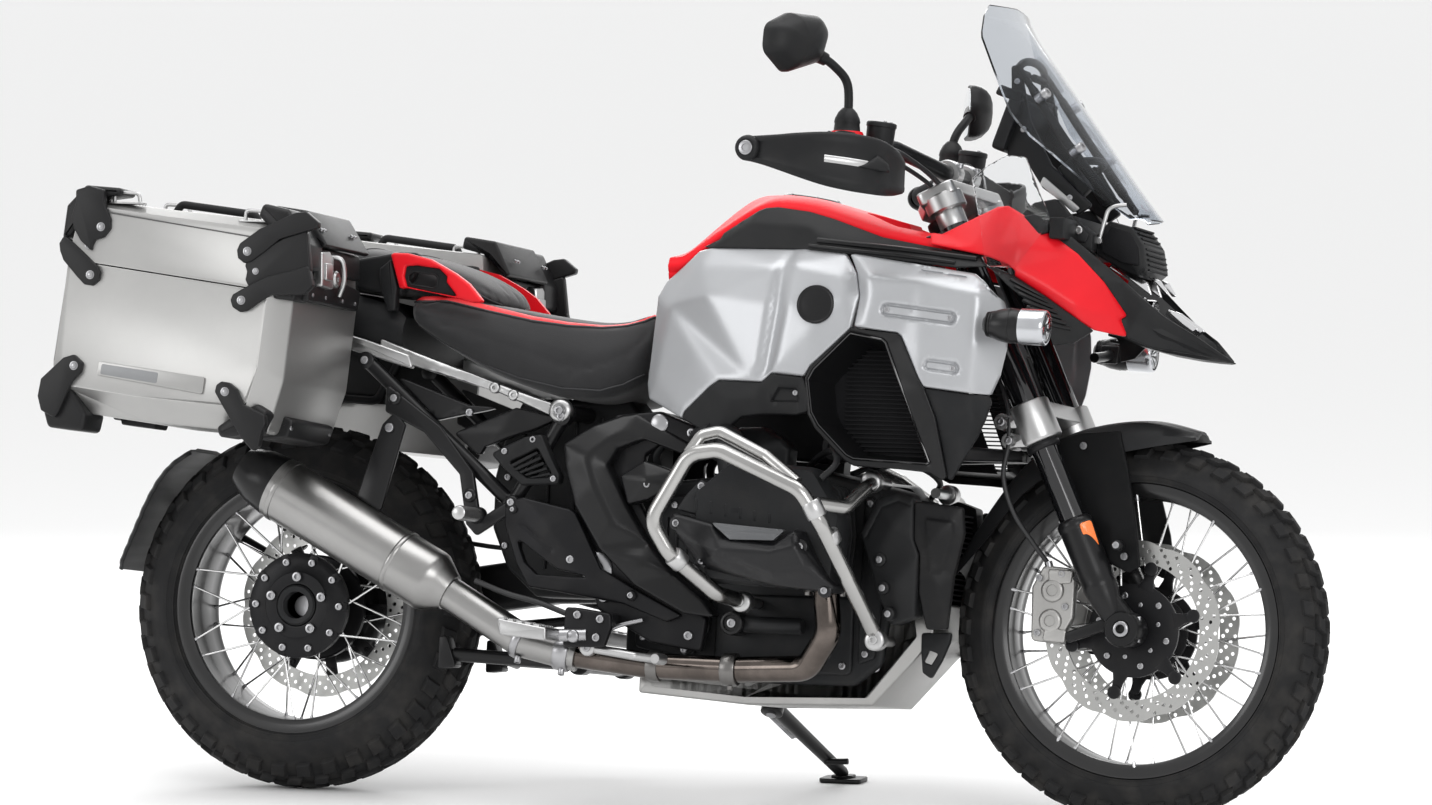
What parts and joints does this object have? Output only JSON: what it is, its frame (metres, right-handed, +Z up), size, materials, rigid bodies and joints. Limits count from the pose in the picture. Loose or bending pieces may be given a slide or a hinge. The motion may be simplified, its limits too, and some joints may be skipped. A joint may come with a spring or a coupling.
{
  "type": "adventure motorcycle",
  "caption": "Adventure touring motorcycle parked on its side stand, with spoked wheels, crash bars, tall screen and aluminium side cases.",
  "frame": {"origin": "middle of the bounding box, on the floor, with the machine leaning on its side stand", "axes": "+X forward, +Y to the machine's left, +Z up from the floor"},
  "size_m": [2.2419, 1.0528, 1.3953],
  "materials": {
    "tyre_rubber": "moulded block tread rubber",
    "black_rim": "gloss black anodised rim",
    "spoke_steel": "bright stainless wire",
    "black_alloy": "satin black powder coat on cast alloy",
    "disc_steel": "ground stainless brake surface",
    "engine_metal": "dark grey painted casting",
    "head_cover": "satin black casting",
    "header_steel": "heat tinted steel tube",
    "muffler_steel": "satin stainless",
    "silver_alloy": "satin aluminium",
    "crash_steel": "polished stainless tube",
    "black_plastic": "fine grain black plastic",
    "black_paint": "satin black paint",
    "caliper_alloy": "grey anodised",
    "red_paint": "gloss red paint",
    "silver_paint": "satin silver metallic paint",
    "lamp_lens": "clear lamp lens",
    "clear_screen": "clear polycarbonate",
    "seat_cover": "grained grey seat cover",
    "red_lens": "red lamp lens",
    "case_aluminium": "bead blasted aluminium sheet",
    "black_gloss": "gloss black tube"
  },
  "bodies": {
    "root": {"engine_block": "engine_metal", "head_covers": "head_cover", "exhaust_headers": "header_steel", "muffler": "muffler_steel", "skid_plate": "silver_alloy", "crash_bars": "crash_steel", "radiator_covers": "black_plastic", "main_frame": "black_paint", "front_arm": "black_alloy", "swingarm": "black_alloy", "rear_caliper": "caliper_alloy", "fuel_tank": "red_paint", "tank_side_panels": "silver_paint", "tank_trim": "black_plastic", "air_ducts": "black_plastic", "front_fairing": "red_paint", "headlamp": "lamp_lens", "nose_panel": "black_plastic", "windscreen": "clear_screen", "wind_deflectors": "clear_screen", "aux_lamps": "black_alloy", "rider_seat": "seat_cover", "passenger_seat": "seat_cover", "grab_handles": "red_paint", "luggage_rack": "black_alloy", "tail_cover": "black_plastic", "tail_lamp": "red_lens", "rear_subframe": "black_paint", "side_covers": "black_plastic", "foot_pegs": "silver_alloy", "foot_levers": "silver_alloy", "case_right": "case_aluminium", "case_left": "case_aluminium"},
    "steering": {"fork_tubes": "black_gloss", "fork_legs": "black_alloy", "fork_bridges": "silver_alloy", "handlebar": "black_alloy", "hand_controls": "black_plastic", "hand_guards": "black_plastic", "mirrors": "black_plastic", "front_fender": "black_plastic", "front_calipers": "caliper_alloy"},
    "front_wheel": {"front_tyre": "tyre_rubber", "front_rim": "black_rim", "front_spokes": "spoke_steel", "front_hub": "black_alloy", "front_discs": "disc_steel"},
    "rear_wheel": {"rear_tyre": "tyre_rubber", "rear_rim": "black_rim", "rear_spokes": "spoke_steel", "rear_hub": "black_alloy", "rear_disc": "disc_steel"},
    "side_stand": {"side_stand_leg": "black_paint"},
    "centre_stand": {"centre_stand_frame": "black_paint"},
    "case_right_lid": {"case_right_cover": "case_aluminium"},
    "case_left_lid": {"case_left_cover": "case_aluminium"}
  },
  "joints": [
    {"name": "front_wheel_spin", "type": "hinge", "parent": "steering", "child": "front_wheel", "pos_m": [0.793, -0.08266, 0.32585], "axis": [0, 0.991, -0.134], "continuous": true},
    {"name": "rear_wheel_spin", "type": "hinge", "parent": "root", "child": "rear_wheel", "pos_m": [-0.741, -0.08346, 0.31991], "axis": [0, 0.991, -0.134], "continuous": true},
    {"name": "steering_turn", "type": "hinge", "parent": "root", "child": "steering", "pos_m": [0.7496, -0.08266, 0.32585], "axis": [-0.4415, 0.1202, 0.8892], "range_deg": [-32, 32]},
    {"name": "side_stand_fold", "type": "hinge", "parent": "root", "child": "side_stand", "pos_m": [0.082, 0.04616, 0.15909], "axis": [0.0177, 0.5726, 0.8197], "range_deg": [0, 84.5]},
    {"name": "centre_stand_fold", "type": "hinge", "parent": "root", "child": "centre_stand", "pos_m": [-0.185, -0.09498, 0.23468], "axis": [0, -0.991, 0.134], "range_deg": [0, 98]},
    {"name": "case_right_lid_hinge", "type": "hinge", "parent": "root", "child": "case_right_lid", "pos_m": [-1.049, -0.00608, 0.89218], "axis": [0, -0.991, 0.134], "range_deg": [0, 95]},
    {"name": "case_left_lid_hinge", "type": "hinge", "parent": "root", "child": "case_left_lid", "pos_m": [-0.931, -0.00608, 0.89218], "axis": [0, -0.991, 0.134], "range_deg": [0, 95]}
  ]
}
